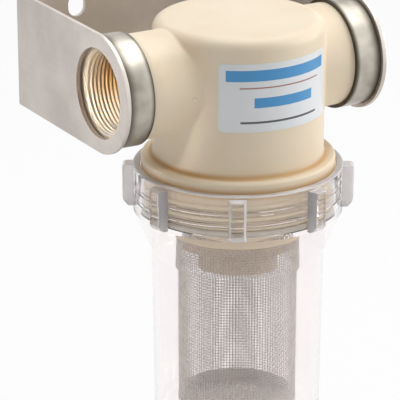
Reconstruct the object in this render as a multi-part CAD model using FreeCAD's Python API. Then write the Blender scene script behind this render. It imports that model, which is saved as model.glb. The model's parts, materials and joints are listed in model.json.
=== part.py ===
import FreeCAD, Part
import math
import os
from FreeCAD import Vector

# In-line sea water strainer on a wall bracket.
#
# A moulded nylon head carries two pipe ports on one axis, each boss held by a steel band.
# Raw water enters by the inlet, drops through the head's central spigot into a woven steel
# screen, leaves through the mesh into a clear screw-on bowl, rises round the spigot into
# the head's outer chamber and goes out by the outlet. A steel strap bent to a U grips the
# head between its cheeks, by the ends of the two bands, and is bolted to a bulkhead.
#
# Frame: the origin is the middle of the bracket's back face, where it meets the bulkhead.
# +X runs along the ports to the outlet, +Y into the bulkhead, +Z up. Millimetres.

# Bracket: one bent strap of constant height, its cheeks rounded about the port axis
STRAP_HEIGHT = 62.0
STRAP_THICKNESS = 2.3
BRACKET_WIDTH = 152.3
PORT_AXIS_TO_WALL = 93.5
BEND_INNER_RADIUS = 3.0
STRAP_EDGE_BREAK = 0.35
SLOT_WIDTH = 10.0
SLOT_LENGTH = 12.4
SLOT_SPACING_X = 80.2
SLOT_SPACING_Z = 35.6

# Ports: 1 1/4 inch pipe thread, drawn as its plain root bore
CHEEK_GAP = 1.85
PORT_BORE_RADIUS = 21.0
PORT_THREAD_LENGTH = 18.0
PORT_CHAMFER = 1.1
THREAD_STOP = 3.5
BOSS_WALL = 6.0
FITTING_CLEARANCE = 2.3
BAND_WALL = 2.0
BAND_PLAY = 0.1
BAND_STAND_OFF = 7.8
BAND_EDGE_BREAK = 0.4

# Head: an upright drum that stands off the bracket's middle, towards the outlet
HEAD_OFFSET = 5.5
HEAD_RADIUS = 44.4
HEAD_WALL = 4.4
TOP_RISE = 1.0
HEAD_TOP_ROUND = 6.0
CHAMBER_TOP_ROUND = 3.0
CHAMBER_STEP_ROUND = 2.2
BOSS_BLEND = 1.5
DUCT_RADIUS = 27.0
DUCT_WALL = 3.2
DUCT_DOME_ROUND = 9.0
DUCT_FLOOR_ROUND = 3.0
BOSS_TO_FLANGE = 17.6
FLANGE_STEP = 6.1
FLANGE_THICKNESS = 8.0
FLANGE_FLARE = 3.0
FLANGE_ROUND = 1.6
SKIRT_STEP = 1.0
SKIRT_WALL = 5.6
SKIRT_LENGTH = 17.4
SKIRT_EDGE_BREAK = 0.8
SEAT_DROP = 10.85
SEAT_STEP = 2.2
SEAT_HEIGHT = 5.0
SCREEN_ENGAGEMENT = 5.8
NECK_WALL = 2.5
NECK_LENGTH = 12.6

# Gasket, squeezed between the skirt's end and the bowl's ledge
GASKET_THICKNESS = 3.0
GASKET_WIDTH = 4.2
GASKET_ROUND = 1.0
GASKET_GAP = 0.05
GASKET_CLEARANCE = 0.3

# Bowl: screw collar with eight grip lugs, conical shoulder and slightly tapered barrel
COLLAR_CLEARANCE = 0.4
COLLAR_WALL = 3.8
COLLAR_LAP = 2.6
COLLAR_EDGE_BREAK = 0.8
LEDGE_DEPTH = 1.35
SHOULDER_HEIGHT = 22.6
SHOULDER_STEP = 9.5
SHOULDER_ROUND = 6.0
BARREL_WALL = 3.0
BARREL_TAPER = 1.3
BARREL_HEIGHT = 95.0
BOWL_FLOOR = 4.0
BOWL_CORNER = 7.0
LUG_COUNT = 8
LUG_REACH = 5.5
LUG_SINK = 1.0
LUG_WIDTH = 9.2
LUG_TOP_INSET = 1.3
LUG_FOOT_INSET = 1.0
LUG_LEAD = 3.0
LUG_ROUND = 0.8
LUG_PHASE = 239.0

# Screen: woven mesh rolled to a tube, with a pressed cup closing its foot
MESH_THICKNESS = 0.6
MESH_FIT = 0.3
MESH_COLUMNS = 20
MESH_ROWS = 6
MESH_RIB = 1.8
MESH_HEM = 3.0
MESH_SEAM_ANGLE = 90.0
CUP_SHEET = 0.4
CUP_CORNER = 0.8
CUP_HEIGHT = 6.6
CUP_CLEARANCE = 0.4

# Label wrapped round the front of the drum, between the roots of the bosses
LABEL_THICKNESS = 0.2
LABEL_MARGIN_ANGLE = 6.0
LABEL_TOP = 16.2
LABEL_BOTTOM = -19.4
LABEL_CORNER = 2.0

# How far a cutter runs past the face that it opens, and how near counts as touching
OVERRUN = 1.0
TOLERANCE = 1e-4

# Places that follow from the sizes above
X_AXIS = Vector(1, 0, 0)
Y_AXIS = Vector(0, 1, 0)
Z_AXIS = Vector(0, 0, 1)
PORT_AXIS_Y = -PORT_AXIS_TO_WALL
DRUM_AXIS = Vector(HEAD_OFFSET, PORT_AXIS_Y, 0)
STRAP_HALF = STRAP_HEIGHT / 2
CHEEK_OUTER_X = BRACKET_WIDTH / 2
CHEEK_INNER_X = CHEEK_OUTER_X - STRAP_THICKNESS

BOSS_RADIUS = PORT_BORE_RADIUS + BOSS_WALL
BOSS_END_X = CHEEK_INNER_X - CHEEK_GAP
PASSAGE_RADIUS = PORT_BORE_RADIUS - THREAD_STOP
CHEEK_HOLE_RADIUS = PORT_BORE_RADIUS + FITTING_CLEARANCE
BAND_RADIUS = BOSS_RADIUS + BAND_WALL
BAND_OUTER_X = CHEEK_INNER_X - BAND_PLAY
BAND_INNER_X = HEAD_OFFSET + HEAD_RADIUS + BOSS_BLEND + BAND_STAND_OFF

HEAD_TOP = BOSS_RADIUS + TOP_RISE
FLANGE_RADIUS = HEAD_RADIUS + FLANGE_STEP
FLANGE_TOP = -BOSS_RADIUS - BOSS_TO_FLANGE
FLANGE_BOTTOM = FLANGE_TOP - FLANGE_THICKNESS
SKIRT_RADIUS = FLANGE_RADIUS - SKIRT_STEP
SKIRT_INNER_RADIUS = SKIRT_RADIUS - SKIRT_WALL
SKIRT_BOTTOM = FLANGE_BOTTOM - SKIRT_LENGTH
CHAMBER_RADIUS = HEAD_RADIUS - HEAD_WALL
CHAMBER_TOP = HEAD_TOP - HEAD_WALL
DUCT_OUTER_RADIUS = DUCT_RADIUS + DUCT_WALL

COLLAR_INNER_RADIUS = FLANGE_RADIUS + COLLAR_CLEARANCE
COLLAR_RADIUS = COLLAR_INNER_RADIUS + COLLAR_WALL
COLLAR_TOP = FLANGE_BOTTOM + COLLAR_LAP
GASKET_OUTER_RADIUS = COLLAR_INNER_RADIUS - GASKET_CLEARANCE
GASKET_INNER_RADIUS = GASKET_OUTER_RADIUS - GASKET_WIDTH
GASKET_TOP = SKIRT_BOTTOM - GASKET_GAP
LEDGE = GASKET_TOP - GASKET_THICKNESS
LEDGE_INNER_RADIUS = GASKET_INNER_RADIUS - GASKET_CLEARANCE
COLLAR_BOTTOM = LEDGE - LEDGE_DEPTH
SHOULDER_BOTTOM = COLLAR_BOTTOM - SHOULDER_HEIGHT
BARREL_TOP_RADIUS = COLLAR_RADIUS - SHOULDER_STEP
BARREL_BOTTOM_RADIUS = BARREL_TOP_RADIUS - BARREL_TAPER
BOWL_BOTTOM = SHOULDER_BOTTOM - BARREL_HEIGHT
BOWL_INNER_FLOOR = BOWL_BOTTOM + BOWL_FLOOR
LUG_RADIUS = COLLAR_RADIUS + LUG_REACH
LUG_TOP = COLLAR_TOP - LUG_TOP_INSET
LUG_BOTTOM = COLLAR_BOTTOM + LUG_FOOT_INSET

SEAT_RADIUS = DUCT_OUTER_RADIUS + SEAT_STEP
SEAT_BOTTOM = LEDGE - SEAT_DROP
MESH_INNER_RADIUS = DUCT_OUTER_RADIUS + MESH_FIT
MESH_RADIUS = MESH_INNER_RADIUS + MESH_THICKNESS
MESH_TOP = SEAT_BOTTOM - MESH_FIT
DUCT_BOTTOM = MESH_TOP - SCREEN_ENGAGEMENT
NECK_OUTER_RADIUS = PASSAGE_RADIUS + NECK_WALL
SPIGOT_BOTTOM = DUCT_BOTTOM - NECK_LENGTH
CUP_BOTTOM = BOWL_INNER_FLOOR + CUP_CLEARANCE
CUP_TOP = CUP_BOTTOM + CUP_HEIGHT
MESH_BOTTOM = CUP_BOTTOM + CUP_SHEET

BOSS_ROOT_ANGLE = math.degrees(math.asin((BOSS_RADIUS + BOSS_BLEND) / HEAD_RADIUS))
LABEL_HALF_ANGLE = 90 - BOSS_ROOT_ANGLE - LABEL_MARGIN_ANGLE


def outline(corners):
    """Closed wire in the XZ plane from (x, z, corner radius), with tangent arcs."""
    points = [Vector(x, 0, z) for x, z, _ in corners]
    starts = []
    ends = []
    edges = []
    for i, (_, _, radius) in enumerate(corners):
        before = (points[i - 1] - points[i]).normalize()
        after = (points[(i + 1) % len(points)] - points[i]).normalize()
        setback = 0.0
        if radius > 0:
            half_turn = before.getAngle(after) / 2
            setback = radius / math.tan(half_turn)
        starts.append(points[i] + before * setback)
        ends.append(points[i] + after * setback)
        if radius > 0:
            bisector = (before + after).normalize()
            centre = points[i] + bisector * (radius / math.sin(half_turn))
            middle = centre - bisector * radius
            edges.append(Part.Arc(starts[i], middle, ends[i]).toShape())
    for i in range(len(points)):
        follower = (i + 1) % len(points)
        if ends[i].distanceToPoint(starts[follower]) > TOLERANCE:
            edges.append(Part.LineSegment(ends[i], starts[follower]).toShape())
    return Part.Wire(Part.__sortEdges__(edges))


def turned(corners):
    """Solid of revolution about the upright axis of the drum."""
    face = Part.Face(outline(corners))
    solid = face.revolve(Vector(0, 0, 0), Z_AXIS, 360)
    solid.translate(DRUM_AXIS)
    return solid


def port_cylinder(radius, x_from, x_to):
    """Cylinder on the port axis between two places along X."""
    start = Vector(min(x_from, x_to), PORT_AXIS_Y, 0)
    return Part.makeCylinder(radius, abs(x_to - x_from), start, X_AXIS)


def edges_where(shape, test):
    """Edges of a shape that pass a test on the edge and its middle point."""
    found = []
    for edge in shape.Edges:
        middle = edge.valueAt((edge.FirstParameter + edge.LastParameter) / 2)
        if test(edge, middle):
            found.append(edge)
    return found


def single(shape):
    """The one solid that a boolean result holds."""
    shape = shape.removeSplitter()
    return shape.Solids[0] if len(shape.Solids) == 1 else shape


def bent_block(half_width, back_y, bend_radius):
    """Block as high as the strap, from its open front to a back face with rounded ends."""
    front_y = PORT_AXIS_Y - STRAP_HALF - OVERRUN
    corner = Vector(-half_width, front_y, -STRAP_HALF)
    block = Part.makeBox(2 * half_width, back_y - front_y, STRAP_HEIGHT, corner)
    bends = edges_where(block, lambda edge, p: abs(p.y - back_y) + abs(p.z) < TOLERANCE)
    return block.makeFillet(bend_radius, bends)


def bracket():
    """Strap bent to a U, with round port holes in its cheeks and four bolt slots."""
    outer = bent_block(CHEEK_OUTER_X, 0, BEND_INNER_RADIUS + STRAP_THICKNESS)
    inner = bent_block(CHEEK_INNER_X, -STRAP_THICKNESS, BEND_INNER_RADIUS)
    strap = outer.cut(inner)

    corner = Vector(-CHEEK_OUTER_X, PORT_AXIS_Y, -STRAP_HALF)
    side_view = Part.makeBox(BRACKET_WIDTH, PORT_AXIS_TO_WALL, STRAP_HEIGHT, corner)
    round_ends = port_cylinder(STRAP_HALF, -CHEEK_OUTER_X, CHEEK_OUTER_X)
    strap = strap.common(side_view.fuse(round_ends))
    strap = strap.cut(port_cylinder(CHEEK_HOLE_RADIUS, -CHEEK_OUTER_X, CHEEK_OUTER_X))
    strap = single(strap)

    strap = strap.makeFillet(STRAP_EDGE_BREAK, edges_where(strap, is_strap_edge))
    for x in (-SLOT_SPACING_X / 2, SLOT_SPACING_X / 2):
        for z in (-SLOT_SPACING_Z / 2, SLOT_SPACING_Z / 2):
            strap = strap.cut(bolt_slot(x, z))
    return single(strap)


def is_strap_edge(edge, middle):
    """True on the edges round the strap's outline, not on those round its port holes."""
    from_axis = math.hypot(middle.y - PORT_AXIS_Y, middle.z)
    at_round_end = middle.y < PORT_AXIS_Y and abs(from_axis - STRAP_HALF) < TOLERANCE
    at_long_side = middle.y >= PORT_AXIS_Y and abs(abs(middle.z) - STRAP_HALF) < TOLERANCE
    box = edge.BoundBox
    crosses_sheet = box.XLength < STRAP_THICKNESS + TOLERANCE and box.YLength < TOLERANCE
    return (at_round_end or at_long_side) and not crosses_sheet


def bolt_slot(x, z):
    """Upright slot cutter through the back plate."""
    half_run = (SLOT_LENGTH - SLOT_WIDTH) / 2
    depth = STRAP_THICKNESS + 2 * OVERRUN
    start_y = -STRAP_THICKNESS - OVERRUN
    corner = Vector(x - SLOT_WIDTH / 2, start_y, z - half_run)
    cutter = Part.makeBox(SLOT_WIDTH, depth, 2 * half_run, corner)
    for end in (-half_run, half_run):
        centre = Vector(x, start_y, z + end)
        cutter = cutter.fuse(Part.makeCylinder(SLOT_WIDTH / 2, depth, centre, Y_AXIS))
    return cutter.removeSplitter()


def head():
    """Moulded head: drum, two bosses, flange, threaded skirt, central duct and chamber."""
    drum = turned([
        (0, HEAD_TOP, 0),
        (HEAD_RADIUS, HEAD_TOP, HEAD_TOP_ROUND),
        (HEAD_RADIUS, FLANGE_TOP, FLANGE_FLARE),
        (FLANGE_RADIUS, FLANGE_TOP, FLANGE_ROUND),
        (FLANGE_RADIUS, FLANGE_BOTTOM, 0),
        (SKIRT_RADIUS, FLANGE_BOTTOM, 0),
        (SKIRT_RADIUS, SKIRT_BOTTOM, SKIRT_EDGE_BREAK),
        (0, SKIRT_BOTTOM, 0),
    ])
    body = single(drum.fuse(port_cylinder(BOSS_RADIUS, -BOSS_END_X, BOSS_END_X)))
    body = body.makeFillet(BOSS_BLEND, edges_where(body, is_boss_root))

    hollow = chamber()
    body = body.cut(hollow)
    inlet_pipe = port_cylinder(PASSAGE_RADIUS + DUCT_WALL, -BOSS_END_X, HEAD_OFFSET)
    body = body.fuse(inlet_pipe.common(hollow))
    body = body.fuse(spigot())

    body = body.cut(duct_bore())
    body = body.cut(port_cylinder(PASSAGE_RADIUS, -BOSS_END_X, HEAD_OFFSET))
    outlet_start = HEAD_OFFSET + DUCT_OUTER_RADIUS + HEAD_WALL
    body = body.cut(port_cylinder(PASSAGE_RADIUS, outlet_start, BOSS_END_X))
    for side in (-1, 1):
        body = body.cut(port_bore(side))
    return single(body)


def is_boss_root(edge, middle):
    """True on the curves where the bosses run into the drum."""
    from_port_axis = math.hypot(middle.y - PORT_AXIS_Y, middle.z)
    on_boss = abs(from_port_axis - BOSS_RADIUS) < TOLERANCE
    at_drum = abs(middle.x) < BOSS_END_X - BOSS_BLEND
    is_seam = edge.BoundBox.YLength < TOLERANCE and edge.BoundBox.ZLength < TOLERANCE
    return on_boss and at_drum and not is_seam


def chamber():
    """Outlet chamber between the drum's wall and the central duct, open at the skirt."""
    step = FLANGE_TOP + FLANGE_FLARE
    return turned([
        (0, CHAMBER_TOP, 0),
        (CHAMBER_RADIUS, CHAMBER_TOP, CHAMBER_TOP_ROUND),
        (CHAMBER_RADIUS, step, CHAMBER_STEP_ROUND),
        (SKIRT_INNER_RADIUS, step - HEAD_WALL, CHAMBER_STEP_ROUND),
        (SKIRT_INNER_RADIUS, SKIRT_BOTTOM - OVERRUN, 0),
        (0, SKIRT_BOTTOM - OVERRUN, 0),
    ])


def spigot():
    """Central duct: a tube from the head's top that seats the screen and ends in a neck."""
    root = CHAMBER_TOP + HEAD_WALL / 2
    return turned([
        (0, root, 0),
        (DUCT_OUTER_RADIUS, root, 0),
        (DUCT_OUTER_RADIUS, SEAT_BOTTOM + SEAT_HEIGHT + SEAT_STEP, 0),
        (SEAT_RADIUS, SEAT_BOTTOM + SEAT_HEIGHT, 0),
        (SEAT_RADIUS, SEAT_BOTTOM, SKIRT_EDGE_BREAK),
        (DUCT_OUTER_RADIUS, SEAT_BOTTOM, 0),
        (DUCT_OUTER_RADIUS, DUCT_BOTTOM, SKIRT_EDGE_BREAK),
        (NECK_OUTER_RADIUS, DUCT_BOTTOM, SKIRT_EDGE_BREAK),
        (NECK_OUTER_RADIUS, SPIGOT_BOTTOM, SKIRT_EDGE_BREAK),
        (0, SPIGOT_BOTTOM, 0),
    ])


def duct_bore():
    """Bore of the central duct: a domed top, and a floor that the neck's bore opens."""
    duct_floor = DUCT_BOTTOM + DUCT_WALL
    return turned([
        (0, CHAMBER_TOP, 0),
        (DUCT_RADIUS, CHAMBER_TOP, DUCT_DOME_ROUND),
        (DUCT_RADIUS, duct_floor, DUCT_FLOOR_ROUND),
        (PASSAGE_RADIUS, duct_floor, 0),
        (PASSAGE_RADIUS, SPIGOT_BOTTOM - OVERRUN, 0),
        (0, SPIGOT_BOTTOM - OVERRUN, 0),
    ])


def port_bore(side):
    """Thread bore of one port, with a chamfered mouth."""
    mouth_x = side * BOSS_END_X
    bore = port_cylinder(PORT_BORE_RADIUS, mouth_x, mouth_x - side * PORT_THREAD_LENGTH)
    mouth_radius = PORT_BORE_RADIUS + PORT_CHAMFER
    mouth = Vector(mouth_x, PORT_AXIS_Y, 0)
    inward = X_AXIS * -side
    return bore.fuse(Part.makeCone(mouth_radius, PORT_BORE_RADIUS, PORT_CHAMFER, mouth, inward))


def band(side):
    """Steel band pressed on a boss, standing out past its end to bear on the cheek."""
    outer_x = side * BAND_OUTER_X
    inner_x = side * BAND_INNER_X
    sleeve = port_cylinder(BAND_RADIUS, inner_x, outer_x)
    rims = edges_where(sleeve, lambda edge, p: edge.BoundBox.XLength < TOLERANCE)
    sleeve = sleeve.makeFillet(BAND_EDGE_BREAK, rims)
    return single(sleeve.cut(port_cylinder(BOSS_RADIUS, inner_x, outer_x)))


def bowl():
    """Clear bowl moulded in one with its screw collar and grip lugs."""
    slope = BARREL_TAPER / BARREL_HEIGHT
    inner_top = BARREL_TOP_RADIUS - BARREL_WALL
    inner_bottom = inner_top - slope * (SHOULDER_BOTTOM - BOWL_INNER_FLOOR)
    outer = turned([
        (0, COLLAR_TOP, 0),
        (COLLAR_RADIUS, COLLAR_TOP, COLLAR_EDGE_BREAK),
        (COLLAR_RADIUS, COLLAR_BOTTOM, COLLAR_EDGE_BREAK),
        (BARREL_TOP_RADIUS, SHOULDER_BOTTOM, SHOULDER_ROUND),
        (BARREL_BOTTOM_RADIUS, BOWL_BOTTOM, BOWL_CORNER),
        (0, BOWL_BOTTOM, 0),
    ])
    for i in range(LUG_COUNT):
        outer = outer.fuse(lug(LUG_PHASE + i * 360 / LUG_COUNT))
    inner = turned([
        (0, COLLAR_TOP + OVERRUN, 0),
        (COLLAR_INNER_RADIUS, COLLAR_TOP + OVERRUN, 0),
        (COLLAR_INNER_RADIUS, LEDGE, 0),
        (LEDGE_INNER_RADIUS, LEDGE, COLLAR_EDGE_BREAK),
        (inner_top, SHOULDER_BOTTOM, SHOULDER_ROUND),
        (inner_bottom, BOWL_INNER_FLOOR, BOWL_CORNER - BARREL_WALL),
        (0, BOWL_INNER_FLOOR, 0),
    ])
    return single(outer.cut(inner))


def lug(angle):
    """Grip lug on the collar, tapered into it at its foot."""
    root = COLLAR_RADIUS - LUG_SINK
    section = outline([
        (root, LUG_TOP, 0),
        (LUG_RADIUS, LUG_TOP, LUG_ROUND),
        (LUG_RADIUS, LUG_BOTTOM + LUG_LEAD, LUG_ROUND),
        (LUG_RADIUS - LUG_LEAD, LUG_BOTTOM, 0),
        (root, LUG_BOTTOM, 0),
    ])
    block = Part.Face(section).extrude(Y_AXIS * LUG_WIDTH)
    block.translate(Y_AXIS * (-LUG_WIDTH / 2))
    block = block.makeFillet(LUG_ROUND, edges_where(block, is_lug_corner))
    block.rotate(Vector(0, 0, 0), Z_AXIS, angle)
    block.translate(DRUM_AXIS)
    return block


def is_lug_corner(edge, middle):
    """True on the two upright outer corners of a lug."""
    return middle.x > LUG_RADIUS - TOLERANCE and edge.BoundBox.ZLength > LUG_LEAD


def bowl_gasket():
    """Seal ring on the bowl's ledge."""
    return turned([
        (GASKET_INNER_RADIUS, GASKET_TOP, GASKET_ROUND),
        (GASKET_OUTER_RADIUS, GASKET_TOP, GASKET_ROUND),
        (GASKET_OUTER_RADIUS, LEDGE, GASKET_ROUND),
        (GASKET_INNER_RADIUS, LEDGE, GASKET_ROUND),
    ])


def screen_mesh():
    """Rolled mesh tube with plain hems and a grid of gaps between ribs."""
    tube = turned([
        (MESH_INNER_RADIUS, MESH_TOP, 0),
        (MESH_RADIUS, MESH_TOP, 0),
        (MESH_RADIUS, MESH_BOTTOM, 0),
        (MESH_INNER_RADIUS, MESH_BOTTOM, 0),
    ])
    column_angle = 360 / MESH_COLUMNS
    gap_width = math.radians(column_angle) * MESH_RADIUS - MESH_RIB
    gaps_bottom = CUP_TOP + MESH_HEM
    row_height = (MESH_TOP - MESH_HEM - gaps_bottom + MESH_RIB) / MESH_ROWS
    gap = Part.makeBox(
        MESH_THICKNESS + 2 * OVERRUN,
        gap_width,
        row_height - MESH_RIB,
        Vector(MESH_INNER_RADIUS - OVERRUN, -gap_width / 2, gaps_bottom),
    )
    cutters = []
    for column in range(MESH_COLUMNS):
        for row in range(MESH_ROWS):
            cutter = gap.translated(Z_AXIS * (row * row_height))
            turn = MESH_SEAM_ANGLE + (column + 0.5) * column_angle
            cutter.rotate(Vector(0, 0, 0), Z_AXIS, turn)
            cutter.translate(DRUM_AXIS)
            cutters.append(cutter)
    return single(tube.cut(Part.makeCompound(cutters)))


def screen_bottom_cup():
    """Pressed cup that closes the foot of the screen."""
    return turned([
        (0, CUP_BOTTOM, 0),
        (MESH_RADIUS + CUP_SHEET, CUP_BOTTOM, CUP_CORNER),
        (MESH_RADIUS + CUP_SHEET, CUP_TOP, 0),
        (MESH_RADIUS, CUP_TOP, 0),
        (MESH_RADIUS, MESH_BOTTOM, 0),
        (0, MESH_BOTTOM, 0),
    ])


def label():
    """Thin label wrapped round the front of the drum, with rounded corners."""
    label_radius = HEAD_RADIUS + LABEL_THICKNESS
    film = turned([
        (HEAD_RADIUS, LABEL_TOP, 0),
        (label_radius, LABEL_TOP, 0),
        (label_radius, LABEL_BOTTOM, 0),
        (HEAD_RADIUS, LABEL_BOTTOM, 0),
    ])
    half_width = HEAD_RADIUS * math.sin(math.radians(LABEL_HALF_ANGLE))
    front_view = outline([
        (-half_width, LABEL_BOTTOM, LABEL_CORNER),
        (half_width, LABEL_BOTTOM, LABEL_CORNER),
        (half_width, LABEL_TOP, LABEL_CORNER),
        (-half_width, LABEL_TOP, LABEL_CORNER),
    ])
    block = Part.Face(front_view).extrude(Y_AXIS * -(label_radius + OVERRUN))
    block.translate(DRUM_AXIS)
    return single(film.common(block))


nodes = {
    "bracket": bracket(),
    "head": head(),
    "inlet_band": band(-1),
    "outlet_band": band(1),
    "label": label(),
    "screen_mesh": screen_mesh(),
    "screen_bottom_cup": screen_bottom_cup(),
    "bowl_gasket": bowl_gasket(),
    "bowl": bowl(),
}

os.makedirs("parts", exist_ok=True)
for name, shape in nodes.items():
    shape.exportStep("parts/" + name + ".step")
    print(name, shape.isValid(), len(shape.Solids), round(shape.Volume / 1000, 2), "cm3")
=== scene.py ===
import json
import math

import bpy
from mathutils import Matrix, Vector


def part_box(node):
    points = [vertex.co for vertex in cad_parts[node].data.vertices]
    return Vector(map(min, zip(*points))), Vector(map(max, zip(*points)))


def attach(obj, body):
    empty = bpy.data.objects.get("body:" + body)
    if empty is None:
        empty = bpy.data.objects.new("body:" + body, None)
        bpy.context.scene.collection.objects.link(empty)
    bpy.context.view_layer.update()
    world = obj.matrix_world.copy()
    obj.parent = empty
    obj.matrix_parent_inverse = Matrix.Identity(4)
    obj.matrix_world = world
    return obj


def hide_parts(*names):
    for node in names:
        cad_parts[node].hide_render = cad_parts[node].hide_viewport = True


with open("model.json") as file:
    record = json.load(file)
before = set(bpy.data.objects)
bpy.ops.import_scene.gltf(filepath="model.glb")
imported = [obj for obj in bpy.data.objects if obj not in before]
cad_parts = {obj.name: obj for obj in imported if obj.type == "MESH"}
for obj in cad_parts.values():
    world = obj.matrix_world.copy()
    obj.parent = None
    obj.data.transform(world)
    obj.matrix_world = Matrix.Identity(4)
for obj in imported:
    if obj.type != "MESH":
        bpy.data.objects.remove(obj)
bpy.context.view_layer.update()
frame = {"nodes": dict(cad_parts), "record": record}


# Bracket. One strap of stainless sheet, cut with round ends, punched and bent to a U. It is
# bolted flat to the bulkhead, and its sprung cheeks grip the ends of the head's two bands.
MM = 0.001


def linear(hex_colour):
    """Linear RGBA of an sRGB hex colour."""
    channels = [int(hex_colour[i:i + 2], 16) / 255 for i in (1, 3, 5)]
    return [c / 12.92 if c <= 0.04045 else ((c + 0.055) / 1.055) ** 2.4 for c in channels] + [1.0]


def new_material(name, **shader):
    """A material with one Principled shader, and that shader's own sockets set."""
    material = bpy.data.materials.new(name)
    material.use_nodes = True
    surface = material.node_tree.nodes["Principled BSDF"]
    for socket, value in shader.items():
        surface.inputs[socket.replace("_", " ")].default_value = value
    return material, material.node_tree, surface


def add_node(tree, kind, values=None, links=None, **properties):
    """Adds a shader node with its own properties, its input values and what feeds its inputs."""
    added = tree.nodes.new(kind)
    for name, value in properties.items():
        setattr(added, name, value)
    for name, value in (values or {}).items():
        added.inputs[name].default_value = value
    for name, socket in (links or {}).items():
        tree.links.new(socket, added.inputs[name])
    return added


def vary_colour(tree, surface, pattern, low, high, spread=0.2):
    """Lets a pattern move the base colour between two hex colours."""
    tone = add_node(tree, "ShaderNodeValToRGB", links={"Fac": pattern})
    tone.color_ramp.elements[0].position = 0.5 - spread
    tone.color_ramp.elements[0].color = linear(low)
    tone.color_ramp.elements[1].position = 0.5 + spread
    tone.color_ramp.elements[1].color = linear(high)
    tree.links.new(tone.outputs["Color"], surface.inputs["Base Color"])


def dress(piece, material):
    """Puts one material on every slot of a piece."""
    if not piece.material_slots:
        piece.data.materials.append(material)
    for material_slot in piece.material_slots:
        material_slot.material = material


# Mill-finished stainless sheet: a dull warm grey, with rolling lines along the strap and
# faint cloudy patches. Real lines lie 0.1 mm apart; they are drawn 0.8 mm apart, to show.
mill_steel, tree, surface = new_material("mill_finished_stainless", Metallic=0.85, Roughness=0.45)
place = add_node(tree, "ShaderNodeTexCoord")
along = add_node(tree, "ShaderNodeMapping", {"Scale": (0.03, 0.03, 1.0)},
                 {"Vector": place.outputs["Object"]})
lines = add_node(tree, "ShaderNodeTexNoise", {"Scale": 1 / (0.8 * MM), "Detail": 3.0, "Roughness": 0.6},
                 {"Vector": along.outputs["Vector"]})
clouds = add_node(tree, "ShaderNodeTexNoise", {"Scale": 1 / (22 * MM), "Detail": 3.0},
                  {"Vector": place.outputs["Object"]})
vary_colour(tree, surface, clouds.outputs["Fac"], "#C4BCB5", "#D4CCC5")
dulling = add_node(tree, "ShaderNodeMapRange",
                   {"From Min": 0.3, "From Max": 0.7, "To Min": 0.38, "To Max": 0.52},
                   {"Value": lines.outputs["Fac"]})
tree.links.new(dulling.outputs["Result"], surface.inputs["Roughness"])
relief = add_node(tree, "ShaderNodeBump", {"Strength": 0.2, "Distance": 0.02 * MM},
                  {"Height": lines.outputs["Fac"]})
tree.links.new(relief.outputs["Normal"], surface.inputs["Normal"])

dress(frame["nodes"]["bracket"], mill_steel)


# Head. One injection moulding in natural nylon: the drum, both bosses, the flange and the
# threaded skirt. It turns between the bracket's cheeks until pipes are screwed into its ports.
DRUM_AXIS = Vector((5.5, -93.5, 0)) * MM

# Natural nylon: cream and satin, with flow clouds and a spark-eroded grain. Light gets a little
# way into it and warms its hollows. The real grain is 0.1 mm; it is drawn at 0.5 mm, to show.
nylon, tree, surface = new_material(
    "natural_nylon", Roughness=0.45, IOR=1.53, Subsurface_Weight=0.2,
    Subsurface_Radius=(1.0, 0.6, 0.3), Subsurface_Scale=2.0 * MM)
place = add_node(tree, "ShaderNodeTexCoord")
flow = add_node(tree, "ShaderNodeTexNoise", {"Scale": 1 / (30 * MM), "Detail": 2.0},
                {"Vector": place.outputs["Object"]})
vary_colour(tree, surface, flow.outputs["Fac"], "#EBD9BE", "#F0E1C8")
colour = surface.inputs["Base Color"].links[0].from_socket

# Painted shade: the nylon is tinted amber in the hollows round the flange, where shade and warm light off
# the nylon gather.
# A ring of painted shade lies in the root of the flange and another along its lower edge, each with its
# radius and height about the drum's axis, its reach and its strength. Lengths here are in millimetres.
FLANGE_ROOT = (45.2, -43.9)
FLANGE_EDGE = (50.5, -50.6)
FLANGE_SHADE_RINGS = ((FLANGE_ROOT, 3.0, 0.9), (FLANGE_EDGE, 4.2, 0.8))
in_mm = add_node(tree, "ShaderNodeMapping",
                 {"Location": -DRUM_AXIS / MM, "Scale": (1 / MM, 1 / MM, 1 / MM)},
                 {"Vector": place.outputs["Object"]})
spot = add_node(tree, "ShaderNodeSeparateXYZ", links={"Vector": in_mm.outputs["Vector"]})
flat = add_node(tree, "ShaderNodeCombineXYZ", links={"X": spot.outputs["X"], "Y": spot.outputs["Y"]})
from_drum = add_node(tree, "ShaderNodeVectorMath", links={"Vector": flat.outputs["Vector"]},
                     operation="LENGTH")
section = add_node(tree, "ShaderNodeCombineXYZ",
                   links={"X": from_drum.outputs["Value"], "Y": spot.outputs["Z"]})
crease_shade_colour = linear("#C0924E")
# Each ring mixes amber into the base colour as painted shade in the crease.
for (ring_radius, ring_height), reach, strength in FLANGE_SHADE_RINGS:
    away = add_node(tree, "ShaderNodeVectorMath", {1: (ring_radius, ring_height, 0)},
                    {0: section.outputs["Vector"]}, operation="DISTANCE")
    painted_shade = add_node(tree, "ShaderNodeMapRange",
                     {"From Min": reach, "From Max": 0.0, "To Min": 0.0, "To Max": strength},
                     {"Value": away.outputs["Value"]}, interpolation_type="SMOOTHSTEP")
    shaded = add_node(tree, "ShaderNodeMix", {7: crease_shade_colour}, {0: painted_shade.outputs["Result"], 6: colour},
                       data_type="RGBA")
    colour = shaded.outputs[2]
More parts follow.
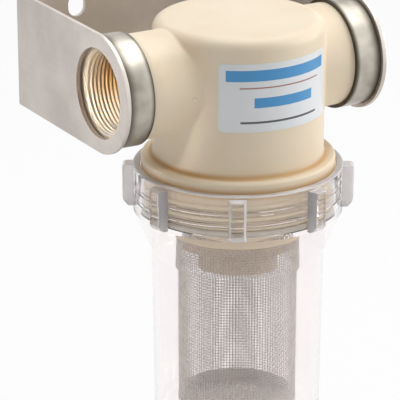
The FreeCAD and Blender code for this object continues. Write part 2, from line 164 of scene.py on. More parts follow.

# In the two bores a warm painted shade sets in near the mouth and is full further in, at these distances
# from the middle of the bracket. The bottom of each bore, where light falls in, is kept lighter as painted
# light, from this height below the ports' axis down to where only a small share of the painted shade is
# left.
BORE_SHADE_RADIUS = 21.3
BORE_SHADE_START = 71.0
BORE_SHADE_FULL = 60.0
BORE_SHADE_STRENGTH = 0.85
LIT_FLOOR_FROM = -4.0
LIT_FLOOR_TO = -16.0
LIT_FLOOR_SHARE = 0.1
upright = add_node(tree, "ShaderNodeCombineXYZ", links={"X": spot.outputs["Y"], "Y": spot.outputs["Z"]})
from_ports = add_node(tree, "ShaderNodeVectorMath", links={"Vector": upright.outputs["Vector"]},
                      operation="LENGTH")
in_bore = add_node(tree, "ShaderNodeMath", {1: BORE_SHADE_RADIUS}, {0: from_ports.outputs["Value"]},
                   operation="LESS_THAN")
centred = add_node(tree, "ShaderNodeMath", {1: DRUM_AXIS.x / MM}, {0: spot.outputs["X"]}, operation="ADD")
outward = add_node(tree, "ShaderNodeMath", links={0: centred.outputs[0]}, operation="ABSOLUTE")
depth = add_node(tree, "ShaderNodeMapRange",
                 {"From Min": BORE_SHADE_START, "From Max": BORE_SHADE_FULL,
                  "To Min": 0.0, "To Max": BORE_SHADE_STRENGTH},
                 {"Value": outward.outputs[0]})
lit_floor = add_node(tree, "ShaderNodeMapRange",
                  {"From Min": LIT_FLOOR_TO, "From Max": LIT_FLOOR_FROM, "To Min": LIT_FLOOR_SHARE, "To Max": 1.0},
                  {"Value": spot.outputs["Z"]})
in_depth = add_node(tree, "ShaderNodeMath", links={0: depth.outputs["Result"], 1: lit_floor.outputs["Result"]},
                    operation="MULTIPLY")
bore_shade = add_node(tree, "ShaderNodeMath", links={0: in_bore.outputs[0], 1: in_depth.outputs[0]},
                      operation="MULTIPLY")
# Painted warm shade inside the bores, lighter as painted light on their lit bottoms.
shaded = add_node(tree, "ShaderNodeMix", {7: linear("#C89A48")}, {0: bore_shade.outputs[0], 6: colour},
                   data_type="RGBA")
tree.links.new(shaded.outputs[2], surface.inputs["Base Color"])
grain = add_node(tree, "ShaderNodeTexNoise", {"Scale": 1 / (0.5 * MM), "Detail": 2.0},
                 {"Vector": place.outputs["Object"]})
relief = add_node(tree, "ShaderNodeBump", {"Strength": 0.2, "Distance": 0.02 * MM},
                  {"Height": grain.outputs["Fac"]})
tree.links.new(relief.outputs["Normal"], surface.inputs["Normal"])

dress(frame["nodes"]["head"], nylon)


# Gate mark. Where the nylon was fed into the mould, on the front of the inlet boss: a small
# raised ring round a pit, left by the feed's break.
GATE_RADIUS = 1.0
GATE_HEIGHT = 0.5
GATE_LIP = 0.35
GATE_PIT = 0.35
GATE_ROUND = 0.1
GATE_PLACE = Vector((-35.8, -120.6, -1.8)) * MM


def select_faces(piece, wanted):
    """Selects a piece's faces that pass a test, and nothing else, and stays in edit mode."""
    bpy.ops.object.mode_set(mode="EDIT")
    bpy.ops.mesh.select_mode(type="FACE")
    bpy.ops.mesh.select_all(action="DESELECT")
    bpy.ops.object.mode_set(mode="OBJECT")
    for face in piece.data.polygons:
        face.select = wanted(face)
    bpy.ops.object.mode_set(mode="EDIT")


bpy.ops.object.select_all(action="DESELECT")
bpy.ops.mesh.primitive_cylinder_add(vertices=24, radius=GATE_RADIUS * MM, depth=GATE_HEIGHT * MM,
                                    location=GATE_PLACE, rotation=(math.radians(90), 0, 0))
gate_mark = bpy.context.object
gate_mark.name = "gate_mark"
bpy.ops.object.transform_apply(location=True, rotation=True, scale=True)
select_faces(gate_mark, lambda face: face.normal.y < -0.9)
bpy.ops.mesh.inset(thickness=GATE_LIP * MM)
bpy.ops.transform.translate(value=(0, GATE_PIT * MM, 0))
bpy.ops.mesh.bevel(offset=GATE_ROUND * MM, segments=2)
bpy.ops.object.mode_set(mode="OBJECT")
bpy.ops.object.shade_smooth_by_angle(angle=math.radians(35))
dress(gate_mark, nylon)
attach(gate_mark, "strainer_head")


# Pipe threads of the two ports, moulded in the head's bores: 11.5 turns to the inch,
# right-handed. They are drawn shallower than real ones, which would catch too much shadow.
PIPE_PITCH = 25.4 / 11.5
PIPE_TURNS = 7
PIPE_DEPTH = 0.6
PIPE_ROOT_WIDTH = 0.96 * PIPE_PITCH
PIPE_CREST_WIDTH = 0.3
THREAD_SINK = 0.1
# A ridge runs out at both ends, within a part of a turn and down to a share of its height.
STEPS_PER_TURN = 72
RUN_OUT_STEPS = STEPS_PER_TURN / 3
RUN_OUT_SHARE = 0.1


def wind_thread(name, root, crest, root_width, crest_width, pitch, turns):
    """A thread's ridge about the upright axis, wound from its section and centred on the origin."""
    bpy.ops.object.select_all(action="DESELECT")
    bpy.ops.mesh.primitive_plane_add(size=1.0, rotation=(math.radians(90), 0, 0))
    ridge = bpy.context.object
    ridge.name = name
    ridge.scale = (abs(root - crest) * MM, root_width * MM, 1.0)
    bpy.ops.object.transform_apply(location=False, rotation=True, scale=True)
    bpy.ops.object.mode_set(mode="EDIT")
    bpy.ops.mesh.select_mode(type="VERT")
    bpy.ops.mesh.select_all(action="SELECT")
    bpy.ops.transform.translate(value=((root + crest) / 2 * MM, 0, -pitch * turns / 2 * MM))
    bpy.ops.mesh.select_all(action="DESELECT")
    bpy.ops.object.mode_set(mode="OBJECT")
    for corner in ridge.data.vertices:
        corner.select = abs(corner.co.x - crest * MM) < 0.01 * MM
    bpy.ops.object.mode_set(mode="EDIT")
    bpy.ops.transform.resize(value=(1, 1, crest_width / root_width))
    bpy.ops.mesh.select_all(action="SELECT")
    bpy.ops.mesh.delete(type="ONLY_FACE")
    bpy.ops.object.mode_set(mode="OBJECT")
    screw = ridge.modifiers.new("wind", "SCREW")
    screw.axis = "Z"
    screw.screw_offset = pitch * MM
    screw.iterations = turns
    screw.steps = screw.render_steps = STEPS_PER_TURN
    bpy.ops.object.modifier_apply(modifier=screw.name)
    last_ring = STEPS_PER_TURN * turns
    for corner in ridge.data.vertices:
        ring = corner.index // 4
        from_end = min(1.0, ring / RUN_OUT_STEPS, (last_ring - ring) / RUN_OUT_STEPS)
        height = RUN_OUT_SHARE + (1 - RUN_OUT_SHARE) * from_end
        radius = math.hypot(corner.co.x, corner.co.y)
        sunk = (root * MM + (radius - root * MM) * height) / radius
        corner.co.x *= sunk
        corner.co.y *= sunk
    bpy.ops.object.mode_set(mode="EDIT")
    bpy.ops.mesh.select_all(action="SELECT")
    bpy.ops.mesh.fill_holes(sides=4)
    bpy.ops.mesh.select_all(action="SELECT")
    bpy.ops.mesh.normals_make_consistent(inside=False)
    bpy.ops.object.mode_set(mode="OBJECT")
    bpy.ops.object.shade_smooth_by_angle(angle=math.radians(35))
    return ridge


def move_mesh(offset):
    """Moves the whole mesh of the piece in hand, so that its object stays at the origin."""
    bpy.ops.object.mode_set(mode="EDIT")
    bpy.ops.mesh.select_all(action="SELECT")
    bpy.ops.transform.translate(value=offset)
    bpy.ops.object.mode_set(mode="OBJECT")


def turn_mesh(degrees, axis):
    """Turns the whole mesh of the piece in hand about one of the origin's axes."""
    bpy.ops.object.mode_set(mode="EDIT")
    bpy.ops.mesh.select_all(action="SELECT")
    bpy.ops.transform.rotate(value=math.radians(degrees), orient_axis=axis, center_override=(0, 0, 0))
    bpy.ops.object.mode_set(mode="OBJECT")


mounts = {mount["name"]: mount for mount in frame["record"]["mounts"]}
for port in ("inlet_port", "outlet_port"):
    bore = mounts[port]
    bore_radius = bore["dims"]["r_mm"]
    thread = wind_thread(port + "_thread", bore_radius + THREAD_SINK, bore_radius - PIPE_DEPTH,
                         PIPE_ROOT_WIDTH, PIPE_CREST_WIDTH, PIPE_PITCH, PIPE_TURNS)
    turn_mesh(90, "Y")
    move_mesh(bore["pos_m"])
    dress(thread, nylon)
    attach(thread, "strainer_head")


# Skirt thread. A coarse right-handed thread of low rounded ridges, moulded round the head's
# skirt, on which the bowl is screwed.
SKIRT_RADIUS = 49.5
BOWL_PITCH = 6.0
BOWL_TURNS = 2
BOWL_THREAD_DEPTH = 0.95
SKIRT_ROOT_WIDTH = 3.4
SKIRT_CREST_WIDTH = 1.6
SKIRT_THREAD_MIDDLE = -61.6

skirt_thread = wind_thread("skirt_thread", SKIRT_RADIUS - THREAD_SINK, SKIRT_RADIUS + BOWL_THREAD_DEPTH,
                           SKIRT_ROOT_WIDTH, SKIRT_CREST_WIDTH, BOWL_PITCH, BOWL_TURNS)
move_mesh(DRUM_AXIS + Vector((0, 0, SKIRT_THREAD_MIDDLE * MM)))
dress(skirt_thread, nylon)
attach(skirt_thread, "strainer_head")


# Inlet and outlet bands. Each is a plain ring turned from stainless tube and pressed on its
# boss against splitting. It stands out past the boss to bear on the bracket's cheek.
band_low, band_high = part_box("outlet_band")
# Painted shade and reflection along each rim: how far out the rim is, and how far the painted shade reaches
# over the ring.
RIM_SHADE = ((band_low[0], 2.8 * MM), (band_high[0], 6.0 * MM))
RIM_SHADE_STRENGTH = 0.95
RIM_SHADE_FULL = 0.2 * MM

# Turned stainless: bright, with fine marks that run round the ring, duller patches, and painted shade and
# reflection along both rims. Real turning marks lie 0.1 mm apart; they are drawn 0.9 mm apart, to show.
turned_steel, tree, surface = new_material("turned_stainless", Metallic=1.0, Roughness=0.34)
place = add_node(tree, "ShaderNodeTexCoord")
along = add_node(tree, "ShaderNodeMapping", {"Scale": (1.0, 0.03, 0.03)},
                 {"Vector": place.outputs["Object"]})
marks = add_node(tree, "ShaderNodeTexNoise", {"Scale": 1 / (0.9 * MM), "Detail": 2.0},
                 {"Vector": along.outputs["Vector"]})
patches = add_node(tree, "ShaderNodeTexNoise", {"Scale": 1 / (14 * MM), "Detail": 2.0},
                   {"Vector": place.outputs["Object"]})
vary_colour(tree, surface, patches.outputs["Fac"], "#9A9388", "#BFB9AE", spread=0.15)
colour = surface.inputs["Base Color"].links[0].from_socket
spot = add_node(tree, "ShaderNodeSeparateXYZ", links={"Vector": place.outputs["Object"]})
outward = add_node(tree, "ShaderNodeMath", links={0: spot.outputs["X"]}, operation="ABSOLUTE")
# Each rim gets a dark painted shade and painted reflection mixed into the base colour.
for rim, reach in RIM_SHADE:
    away = add_node(tree, "ShaderNodeMath", {1: rim}, {0: outward.outputs[0]}, operation="SUBTRACT")
    gap = add_node(tree, "ShaderNodeMath", links={0: away.outputs[0]}, operation="ABSOLUTE")
    rim_shading = add_node(tree, "ShaderNodeMapRange",
                    {"From Min": reach, "From Max": RIM_SHADE_FULL,
                     "To Min": 0.0, "To Max": RIM_SHADE_STRENGTH},
                    {"Value": gap.outputs[0]}, interpolation_type="SMOOTHSTEP")
    rim_shaded = add_node(tree, "ShaderNodeMix", {7: linear("#4E483D")}, {0: rim_shading.outputs["Result"], 6: colour},
                     data_type="RGBA")
    colour = rim_shaded.outputs[2]
tree.links.new(colour, surface.inputs["Base Color"])
relief = add_node(tree, "ShaderNodeBump", {"Strength": 0.12, "Distance": 0.02 * MM},
                  {"Height": marks.outputs["Fac"]})
tree.links.new(relief.outputs["Normal"], surface.inputs["Normal"])

for ring in ("inlet_band", "outlet_band"):
    dress(frame["nodes"][ring], turned_steel)


# Label. A film stuck round the front of the drum, between the bosses. It carries no words:
# plain bars and rules of blue, red-brown and grey ink on white.
LABEL_RADIUS = 44.6
LABEL_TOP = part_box("label")[1][2] / MM
# Each bar: its middle and half width round the drum, how far its middle is below the label's
# top, and its half height, all in millimetres, and its ink.
BARS = (
    (0.0, 30.5, 6.2, 2.9, "#4C9AD2"),
    (0.5, 24.0, 12.6, 0.35, "#A9786C"),
    (1.5, 17.5, 20.4, 2.6, "#4C9AD2"),
    (0.0, 23.0, 30.6, 0.55, "#55575B"),
)

# White polyester film: smooth and half glossy, cool beside the nylon, with inks that lie flat.
label_film, tree, surface = new_material("white_label_film", Roughness=0.3, IOR=1.5)
place = add_node(tree, "ShaderNodeTexCoord")
centred = add_node(tree, "ShaderNodeMapping",
                   {"Location": -DRUM_AXIS / MM, "Scale": (1 / MM, 1 / MM, 1 / MM)},
                   {"Vector": place.outputs["Object"]})
parts = add_node(tree, "ShaderNodeSeparateXYZ", links={"Vector": centred.outputs["Vector"]})
forward = add_node(tree, "ShaderNodeMath", {1: -1.0}, {0: parts.outputs["Y"]}, operation="MULTIPLY")
angle = add_node(tree, "ShaderNodeMath", links={0: parts.outputs["X"], 1: forward.outputs[0]},
                 operation="ARCTAN2")
round_drum = add_node(tree, "ShaderNodeMath", {1: LABEL_RADIUS}, {0: angle.outputs[0]},
                      operation="MULTIPLY")
fibre = add_node(tree, "ShaderNodeTexNoise", {"Scale": 1 / (12 * MM), "Detail": 2.0},
                 {"Vector": place.outputs["Object"]})
paper = add_node(tree, "ShaderNodeMix", {6: linear("#E4E7EA"), 7: linear("#EDEFF1")},
                 {0: fibre.outputs["Fac"]}, data_type="RGBA")
printed = paper.outputs[2]
for middle, half_width, drop, half_height, ink in BARS:
    across = add_node(tree, "ShaderNodeMath", {1: middle, 2: half_width}, {0: round_drum.outputs[0]},
                      operation="COMPARE")
    up = add_node(tree, "ShaderNodeMath", {1: LABEL_TOP - drop, 2: half_height},
                  {0: parts.outputs["Z"]}, operation="COMPARE")
    inside = add_node(tree, "ShaderNodeMath", links={0: across.outputs[0], 1: up.outputs[0]},
                      operation="MULTIPLY")
    inked = add_node(tree, "ShaderNodeMix", {7: linear(ink)}, {0: inside.outputs[0], 6: printed},
                     data_type="RGBA")
    printed = inked.outputs[2]
tree.links.new(printed, surface.inputs["Base Color"])

dress(frame["nodes"]["label"], label_film)


# Bowl gasket. A ring of pale silicone rubber on the bowl's ledge, squeezed by the skirt's end.
# Moulded silicone: matt and off-white, with a faint bloom.
silicone, tree, surface = new_material("silicone_rubber", Roughness=0.55, IOR=1.41)
place = add_node(tree, "ShaderNodeTexCoord")
bloom = add_node(tree, "ShaderNodeTexNoise", {"Scale": 1 / (6 * MM)}, {"Vector": place.outputs["Object"]})
vary_colour(tree, surface, bloom.outputs["Fac"], "#CDC5B8", "#DAD4C8")

dress(frame["nodes"]["bowl_gasket"], silicone)


# Screen. Stainless wire cloth, rolled to a tube and lapped towards the back, that slips over the
# head's spigot. Upright wires and hoops pass over and under each other in a plain weave.
WEAVE_RADIUS = 30.85
WIRE_RADIUS = 0.22
UPRIGHT_PAIRS = 62
HOOP_PAIRS = 33
FOOT_MARGIN = 0.4
TOP_MARGIN = 0.3
screen_low, screen_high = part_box("screen_mesh")
WEAVE_BOTTOM = screen_low[2] / MM + FOOT_MARGIN
WEAVE_TOP = screen_high[2] / MM - TOP_MARGIN
HOOP_GAP = (WEAVE_TOP - WEAVE_BOTTOM) / (2 * HOOP_PAIRS - 1)
WIRE_ANGLE = math.pi / UPRIGHT_PAIRS

# Drawn stainless wire: bright where it catches light, grey where wires cross. It is made a little
# less metallic than bare steel, because the bowl's walls keep much light from it.
wire_steel, tree, surface = new_material("stainless_wire", Metallic=0.7, Roughness=0.35)
place = add_node(tree, "ShaderNodeTexCoord")
drawn = add_node(tree, "ShaderNodeTexNoise", {"Scale": 1 / (4 * MM)}, {"Vector": place.outputs["Object"]})
vary_colour(tree, surface, drawn.outputs["Fac"], "#CDC6C2", "#E2DCD8")


def draw_wire(wire):
    """Gives a piece's bare line of edges the wire's thickness."""
    bpy.ops.object.convert(target="CURVE")
    wire.data.bevel_depth = WIRE_RADIUS * MM
    wire.data.bevel_resolution = 0
    wire.data.use_fill_caps = True
    bpy.ops.object.convert(target="MESH")
    bpy.ops.object.mode_set(mode="EDIT")
    bpy.ops.mesh.select_all(action="SELECT")
    bpy.ops.mesh.remove_doubles(threshold=0.001 * MM)
    bpy.ops.mesh.normals_make_consistent(inside=False)
    bpy.ops.object.mode_set(mode="OBJECT")


# An upright: a line as tall as the tube, divided at each hoop and halfway, and bent in and out.
# Its neighbour bends the other way, and the pair is copied round the tube.
bpy.ops.object.select_all(action="DESELECT")
bpy.ops.mesh.primitive_circle_add(vertices=3, radius=WIRE_RADIUS * MM)
uprights = bpy.context.object
uprights.name = "screen_uprights"
bpy.ops.object.mode_set(mode="EDIT")
bpy.ops.mesh.select_mode(type="VERT")
bpy.ops.mesh.select_all(action="SELECT")
bpy.ops.mesh.merge(type="CENTER")
bpy.ops.transform.translate(value=(WEAVE_RADIUS * MM, 0, WEAVE_BOTTOM * MM))
bpy.ops.mesh.extrude_region_move(
    TRANSFORM_OT_translate={"value": (0, 0, (WEAVE_TOP - WEAVE_BOTTOM) * MM)})
bpy.ops.mesh.select_all(action="SELECT")
bpy.ops.mesh.subdivide(number_cuts=2 * HOOP_PAIRS - 2)
bpy.ops.mesh.subdivide(number_cuts=1)
bpy.ops.object.mode_set(mode="OBJECT")
for point in uprights.data.vertices:
    hoops_up = (point.co.z / MM - WEAVE_BOTTOM) / HOOP_GAP
    point.co.x += math.cos(math.pi * hoops_up) * WIRE_RADIUS * MM
draw_wire(uprights)
bpy.ops.object.mode_set(mode="EDIT")
bpy.ops.mesh.select_all(action="SELECT")
bpy.ops.mesh.duplicate()
bpy.ops.transform.resize(value=(-1, 1, 1), center_override=(WEAVE_RADIUS * MM, 0, 0))
bpy.ops.transform.rotate(value=WIRE_ANGLE, orient_axis="Z", center_override=(0, 0, 0))
bpy.ops.mesh.select_all(action="SELECT")
bpy.ops.mesh.normals_make_consistent(inside=False)
bpy.ops.mesh.spin(steps=UPRIGHT_PAIRS - 1, dupli=True, angle=2 * WIRE_ANGLE * (UPRIGHT_PAIRS - 1),
                  center=(0, 0, 0), axis=(0, 0, 1))
bpy.ops.object.mode_set(mode="OBJECT")

# A hoop: a circle divided at each upright and halfway, and bent in and out against them.
# The next hoop is the same one turned by one upright, and the pair is copied up the tube.
bpy.ops.object.select_all(action="DESELECT")
bpy.ops.mesh.primitive_circle_add(vertices=4 * UPRIGHT_PAIRS, radius=WEAVE_RADIUS * MM)
hoops = bpy.context.object
hoops.name = "screen_hoops"
for point in hoops.data.vertices:
    angle_round = math.atan2(point.co.y, point.co.x)
    bow = -math.cos(math.pi * angle_round / WIRE_ANGLE) * WIRE_RADIUS
    point.co *= (WEAVE_RADIUS + bow) / WEAVE_RADIUS
move_mesh((0, 0, WEAVE_BOTTOM * MM))
draw_wire(hoops)
bpy.ops.object.mode_set(mode="EDIT")
bpy.ops.mesh.select_all(action="SELECT")
bpy.ops.mesh.duplicate()
bpy.ops.transform.rotate(value=WIRE_ANGLE, orient_axis="Z", center_override=(0, 0, 0))
bpy.ops.transform.translate(value=(0, 0, HOOP_GAP * MM))
bpy.ops.object.mode_set(mode="OBJECT")
stack = hoops.modifiers.new("stack", "ARRAY")
stack.count = HOOP_PAIRS
stack.use_relative_offset = False
stack.use_constant_offset = True
stack.constant_offset_displace = (0, 0, 2 * HOOP_GAP * MM)
bpy.ops.object.modifier_apply(modifier=stack.name)

# The lap: the cloth's two edges folded together in a narrow upright seam.
SEAM_ANGLE = 144.0
SEAM_WIDTH = 3.0
SEAM_THICKNESS = 0.5
SEAM_ROUND = 0.08
bpy.ops.object.select_all(action="DESELECT")
bpy.ops.mesh.primitive_cube_add(size=MM)
seam = bpy.context.object
seam.name = "screen_seam"
seam.scale = (SEAM_WIDTH, SEAM_THICKNESS, WEAVE_TOP - WEAVE_BOTTOM)
bpy.ops.object.transform_apply(location=True, rotation=True, scale=True)
select_faces(seam, lambda face: abs(face.normal.y) > 0.9)
bpy.ops.mesh.inset(thickness=SEAM_WIDTH / 4 * MM, depth=-SEAM_THICKNESS / 4 * MM, use_individual=True)
bpy.ops.mesh.select_all(action="SELECT")
bpy.ops.mesh.bevel(offset=SEAM_ROUND * MM, segments=1)
bpy.ops.object.mode_set(mode="OBJECT")
move_mesh((0, WEAVE_RADIUS * MM, (WEAVE_TOP + WEAVE_BOTTOM) / 2 * MM))
turn_mesh(90 - SEAM_ANGLE, "Z")

for cloth in (uprights, hoops, seam):
    bpy.ops.object.select_all(action="DESELECT")
    cloth.select_set(True)
    bpy.context.view_layer.objects.active = cloth
    bpy.ops.object.shade_smooth_by_angle(angle=math.radians(60))
    move_mesh(DRUM_AXIS)
    dress(cloth, wire_steel)
    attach(cloth, "screen")
    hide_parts("screen_mesh")


# Screen's bottom cup. Pressed from thin stainless sheet and crimped on the foot of the cloth.
# Pressed stainless: satin, with soft clouds where the sheet was drawn. It is the deepest piece in
# the bowl, so it is made pale and hardly metallic, to show at all.
pressed_steel, tree, surface = new_material("pressed_stainless", Metallic=0.2, Roughness=0.45)
place = add_node(tree, "ShaderNodeTexCoord")
drawing = add_node(tree, "ShaderNodeTexNoise", {"Scale": 1 / (5 * MM), "Detail": 3.0},
                   {"Vector": place.outputs["Object"]})
vary_colour(tree, surface, drawing.outputs["Fac"], "#F0EAE5", "#F8F4F0")

dress(frame["nodes"]["screen_bottom_cup"], pressed_steel)


# Bowl. One clear injection moulding with its screw collar, eight grip lugs, conical shoulder
# and slightly tapered barrel. It screws on the head's skirt by hand, over the gasket.
BOWL_STEPS = 152
COLLAR_RADIUS = 54.7
COLLAR_INNER_RADIUS = 50.9
COLLAR_TOP = -50.0
COLLAR_BOTTOM = -74.4
COLLAR_ROUND = 0.8
LEDGE = -73.05
LEDGE_INNER_RADIUS = 46.1
SHOULDER_BOTTOM = -97.0
SHOULDER_ROUND = 6.0
BARREL_TOP_RADIUS = 45.2
BARREL_BOTTOM_RADIUS = 43.9
BARREL_WALL = 3.0
BARREL_BOTTOM_INNER_RADIUS = 40.95
BOWL_BOTTOM = -192.0
BOWL_FLOOR = 4.0
BOWL_CORNER = 7.0
FLOOR_DISC_RADIUS = 30.0
LUGS = 8
LUG_PHASE = 239.0
LUG_STEPS = 4
LUG_REACH = 5.5
LUG_TOP = -51.3
LUG_BOTTOM = -73.4
LUG_LEAD = 3.0
LUG_DRAFT = 0.16
LUG_ROUND = 1.4
BOWL_ROOT_WIDTH = 2.4
BOWL_CREST_WIDTH = 1.2


def rounded(corners, arc_steps=5):
    """Points (radius, height) along an open section, with each corner's arc worked out."""
    points = []
    for i, (radius, height, bend) in enumerate(corners):
        corner = Vector((radius, height))
        if bend == 0:
            points.append(corner)
            continue
        before = (Vector(corners[i - 1][:2]) - corner).normalized()
        after = (Vector(corners[i + 1][:2]) - corner).normalized()
        half = before.angle(after) / 2
        centre = corner + (before + after).normalized() * (bend / math.sin(half))
        start = corner + before * (bend / math.tan(half)) - centre
        end = corner + after * (bend / math.tan(half)) - centre
        turn = start.angle_signed(end)
        for k in range(arc_steps + 1):
            step = -turn * k / arc_steps
            spun = Vector((start.x * math.cos(step) - start.y * math.sin(step),
                           start.x * math.sin(step) + start.y * math.cos(step)))
            points.append(centre + spun)
    return points


def raise_rings(name, section, steps, first_angle):
    """A round shell drawn up from a circle, ring by ring, and closed at both flat ends."""
    bpy.ops.object.select_all(action="DESELECT")
    radius, height = section[0]
    bpy.ops.mesh.primitive_circle_add(vertices=steps, radius=radius * MM, fill_type="NOTHING",
                                      location=DRUM_AXIS + Vector((0, 0, height * MM)),
                                      rotation=(0, 0, math.radians(first_angle - 90)))
    shell = bpy.context.object
    shell.name = name
    bpy.ops.object.transform_apply(location=True, rotation=True, scale=True)
    bpy.ops.object.mode_set(mode="EDIT")
    bpy.ops.mesh.select_mode(type="VERT")
    bpy.ops.mesh.select_all(action="SELECT")
    for next_radius, next_height in section[1:]:
        bpy.ops.mesh.extrude_region_move(
            TRANSFORM_OT_translate={"value": (0, 0, (next_height - height) * MM)})
        grow = next_radius / radius
        bpy.ops.transform.resize(value=(grow, grow, 1.0),
                                 center_override=DRUM_AXIS + Vector((0, 0, next_height * MM)))
        radius, height = next_radius, next_height
    bpy.ops.mesh.edge_face_add()
    bpy.ops.mesh.select_all(action="DESELECT")
    bpy.ops.mesh.select_non_manifold(extend=False, use_wire=False, use_multi_face=False, use_verts=False)
    bpy.ops.mesh.edge_face_add()
    bpy.ops.mesh.select_all(action="SELECT")
    bpy.ops.mesh.normals_make_consistent(inside=False)
    bpy.ops.object.mode_set(mode="OBJECT")
    return shell


bowl_section = rounded((
    (FLOOR_DISC_RADIUS, BOWL_BOTTOM, 0),
    (BARREL_BOTTOM_RADIUS, BOWL_BOTTOM, BOWL_CORNER),
    (BARREL_TOP_RADIUS, SHOULDER_BOTTOM, SHOULDER_ROUND),
    (COLLAR_RADIUS, COLLAR_BOTTOM, COLLAR_ROUND),
    (COLLAR_RADIUS, LUG_BOTTOM, 0),
    (COLLAR_RADIUS, LUG_TOP, 0),
    (COLLAR_RADIUS, COLLAR_TOP, COLLAR_ROUND),
    (COLLAR_INNER_RADIUS, COLLAR_TOP, COLLAR_ROUND),
    (COLLAR_INNER_RADIUS, LEDGE, 0),
    (LEDGE_INNER_RADIUS, LEDGE, COLLAR_ROUND),
    (BARREL_TOP_RADIUS - BARREL_WALL, SHOULDER_BOTTOM, SHOULDER_ROUND),
    (BARREL_BOTTOM_INNER_RADIUS, BOWL_BOTTOM + BOWL_FLOOR, BOWL_CORNER - BARREL_WALL),
    (FLOOR_DISC_RADIUS, BOWL_BOTTOM + BOWL_FLOOR, 0),
))
bowl = raise_rings("clear_bowl", bowl_section, BOWL_STEPS, LUG_PHASE)


def out_from_axis(point):
    """The level arrow from the drum's axis to a point."""
    return Vector((point.x - DRUM_AXIS.x, point.y - DRUM_AXIS.y, 0))


def at_lug(face, outward):
    """True for a face on the collar's outside, in the height and width of the lug there."""
    flat = out_from_axis(face.center)
    on_collar = flat.length > (COLLAR_RADIUS - ON_COLLAR) * MM
    in_height = LUG_BOTTOM * MM < face.center.z < LUG_TOP * MM
    half_lug = math.radians(360 / BOWL_STEPS) * (LUG_STEPS / 2 + 0.1)
    return on_collar and in_height and flat.angle(outward) < half_lug


# Each lug is drawn out of the collar in two steps, the second with a rising foot, and its
# sides close in by the mould's draft. The middle of a flat face lies a little nearer the axis
# than its edges, so the faces of the collar and of a lug's front are looked for this far inside.
ON_COLLAR = 0.5
ON_LUG_FRONT = 0.4
for i in range(LUGS):
    angle = math.radians(LUG_PHASE + i * 360 / LUGS)
    outward = Vector((math.cos(angle), math.sin(angle), 0))
    select_faces(bowl, lambda face: at_lug(face, outward))
    bpy.ops.mesh.extrude_region_move(
        TRANSFORM_OT_translate={"value": outward * (LUG_REACH - LUG_LEAD) * MM})
    bpy.ops.mesh.extrude_region_move(TRANSFORM_OT_translate={"value": outward * LUG_LEAD * MM})
    bpy.ops.object.mode_set(mode="OBJECT")
    sideways = Vector((-outward.y, outward.x, 0))
    for corner in bowl.data.vertices:
        if corner.select:
            corner.co -= sideways * (corner.co - DRUM_AXIS).dot(sideways) * LUG_DRAFT
            if corner.co.z < (LUG_BOTTOM + 0.1) * MM:
                corner.co.z += LUG_LEAD * MM
LUG_FRONT_RADIUS = (COLLAR_RADIUS + LUG_REACH - ON_LUG_FRONT) * MM
select_faces(bowl, lambda face: out_from_axis(face.center).length > LUG_FRONT_RADIUS)
bpy.ops.mesh.region_to_loop()
bpy.ops.mesh.bevel(offset=LUG_ROUND * MM, segments=3)
bpy.ops.object.mode_set(mode="OBJECT")
bpy.ops.object.shade_smooth_by_angle(angle=math.radians(35))

# Thread inside the collar: the same hand and pitch as the skirt's, half a turn away from it.
bowl_thread = wind_thread("bowl_thread", COLLAR_INNER_RADIUS + THREAD_SINK,
                          COLLAR_INNER_RADIUS - BOWL_THREAD_DEPTH,
                          BOWL_ROOT_WIDTH, BOWL_CREST_WIDTH, BOWL_PITCH, BOWL_TURNS)
move_mesh(DRUM_AXIS + Vector((0, 0, (SKIRT_THREAD_MIDDLE - BOWL_PITCH / 2) * MM)))

# Clear moulded plastic: glossy, faintly warm grey where it is thick. Its index is set under the
# plastic's own 1.49, which keeps the edges of the walls pale. The rim of the collar and the flanks
# of the lugs are frosted, where the mould is coarser and hands wear them.
clear_plastic, tree, surface = new_material(
    "clear_moulded_plastic", Roughness=0.03, IOR=1.4, Transmission_Weight=1.0)
place = add_node(tree, "ShaderNodeTexCoord")
haze = add_node(tree, "ShaderNodeTexNoise", {"Scale": 1 / (25 * MM), "Detail": 2.0},
                {"Vector": place.outputs["Object"]})
vary_colour(tree, surface, haze.outputs["Fac"], "#FBF8F8", "#FFFCFB")

frosted_plastic, tree, surface = new_material(
    "frosted_moulded_plastic", Roughness=0.14, IOR=1.4, Transmission_Weight=0.45)
place = add_node(tree, "ShaderNodeTexCoord")
haze = add_node(tree, "ShaderNodeTexNoise", {"Scale": 1 / (8 * MM), "Detail": 3.0},
                {"Vector": place.outputs["Object"]})
vary_colour(tree, surface, haze.outputs["Fac"], "#F6F0F1", "#FFFCFC")

# A face is on a lug where it stands this far out of the collar, and on its flank where it is
# turned this much away from facing outwards.
LUG_STARTS = 0.3
FACES_OUT = 0.95
dress(bowl, clear_plastic)
bowl.data.materials.append(frosted_plastic)
for face in bowl.data.polygons:
    outward = out_from_axis(face.center)
    on_lug = outward.length > (COLLAR_RADIUS + LUG_STARTS) * MM and face.center.z > COLLAR_BOTTOM * MM
    flank = on_lug and abs(face.normal.dot(outward.normalized())) < FACES_OUT
    if flank or face.center.z > (COLLAR_TOP - COLLAR_ROUND) * MM:
        face.material_index = 1
dress(bowl_thread, clear_plastic)
for moulding in (bowl, bowl_thread):
    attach(moulding, "bowl")
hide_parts("bowl")


# Studio. A plain white floor well below the hanging bowl, a broad soft lamp overhead, one to
# the right and a weak one to the left, and a camera a little above and to the left.
FLOOR_WIDTH = 30.0
FLOOR_HEIGHT = -0.25
FLOOR_WHITENESS = 0.92
WORLD_LEVEL = 0.34
# Each lamp: its name, its place, its width and its power.
LAMPS = (
    ("overhead_lamp", (0.2, -0.05, 0.9), 0.9, 6.6),
    ("right_lamp", (1.0, -0.5, 0.25), 0.7, 6.0),
    ("left_lamp", (-0.9, -0.9, 0.0), 0.8, 0.8),
)
CAMERA_PLACE = (-0.6575, -1.1983, 0.4066)
CAMERA_TILT = 69.63
CAMERA_TURN = -30.09
CAMERA_LENS = 236.8


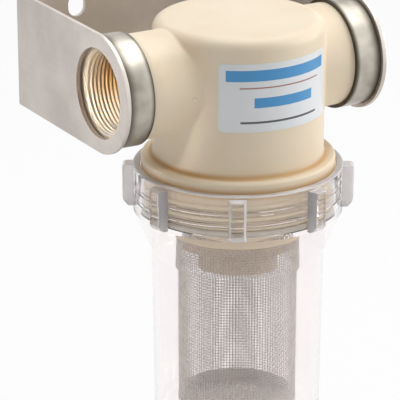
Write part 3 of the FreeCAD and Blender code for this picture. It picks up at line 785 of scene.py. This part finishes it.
def show_background(tree):
    """A value of 1 for rays that see the background: the camera's, and those off metal and glass."""
    path = add_node(tree, "ShaderNodeLightPath")
    direct = add_node(tree, "ShaderNodeMath",
                      links={0: path.outputs["Is Camera Ray"], 1: path.outputs["Is Glossy Ray"]},
                      operation="MAXIMUM")
    shown = add_node(tree, "ShaderNodeMath",
                     links={0: direct.outputs[0], 1: path.outputs["Is Transmission Ray"]},
                     operation="MAXIMUM")
    return shown.outputs[0]


def hang_lamp(name, place, aim, width, power):
    """A square soft lamp, turned to shine at a point."""
    bpy.ops.object.light_add(type="AREA", location=place)
    lamp = bpy.context.object
    lamp.name = name
    lamp.data.size = width
    lamp.data.energy = power
    lamp.rotation_euler = (aim - Vector(place)).to_track_quat("-Z", "Y").to_euler()
    return lamp


bpy.ops.object.select_all(action="DESELECT")
bpy.ops.mesh.primitive_plane_add(size=FLOOR_WIDTH, location=(0, 0, FLOOR_HEIGHT))
floor = bpy.context.object
floor.name = "floor"
white_floor, tree, surface = new_material("white_floor", Roughness=0.9)
surface.inputs["Base Color"].default_value = linear("#F0F0F0")
partly = add_node(tree, "ShaderNodeMath", {1: FLOOR_WHITENESS}, {0: show_background(tree)},
                  operation="MULTIPLY")
glow = add_node(tree, "ShaderNodeEmission", {"Color": (1, 1, 1, 1), "Strength": 1.0})
blend = add_node(tree, "ShaderNodeMixShader",
                 links={0: partly.outputs[0], 1: surface.outputs["BSDF"], 2: glow.outputs["Emission"]})
tree.links.new(blend.outputs["Shader"], tree.nodes["Material Output"].inputs["Surface"])
dress(floor, white_floor)

world = bpy.data.worlds.new("studio")
bpy.context.scene.world = world
world.use_nodes = True
tree = world.node_tree
level = add_node(tree, "ShaderNodeMapRange", {"To Min": WORLD_LEVEL, "To Max": 1.0},
                 {"Value": show_background(tree)})
tree.links.new(level.outputs["Result"], tree.nodes["Background"].inputs["Strength"])
tree.nodes["Background"].inputs["Color"].default_value = (1, 1, 1, 1)

middle_of_strainer = DRUM_AXIS + Vector((0, 0, -50 * MM))
for name, spot, width, power in LAMPS:
    hang_lamp(name, spot, middle_of_strainer, width, power)

# A weak lamp with a narrow beam looks into the inlet port.
inlet_mouth = Vector((-0.07, -0.0935, 0))
port_lamp = hang_lamp("port_lamp", (-0.75, -0.32, 0.35), inlet_mouth, 0.03, 0.007)
port_lamp.data.spread = math.radians(5)

bpy.ops.object.camera_add(location=CAMERA_PLACE,
                          rotation=(math.radians(CAMERA_TILT), 0, math.radians(CAMERA_TURN)))
camera = bpy.context.object
camera.data.lens = CAMERA_LENS
camera.data.sensor_width = 36.0
bpy.context.scene.camera = camera
bpy.context.scene.view_settings.view_transform = "Standard"
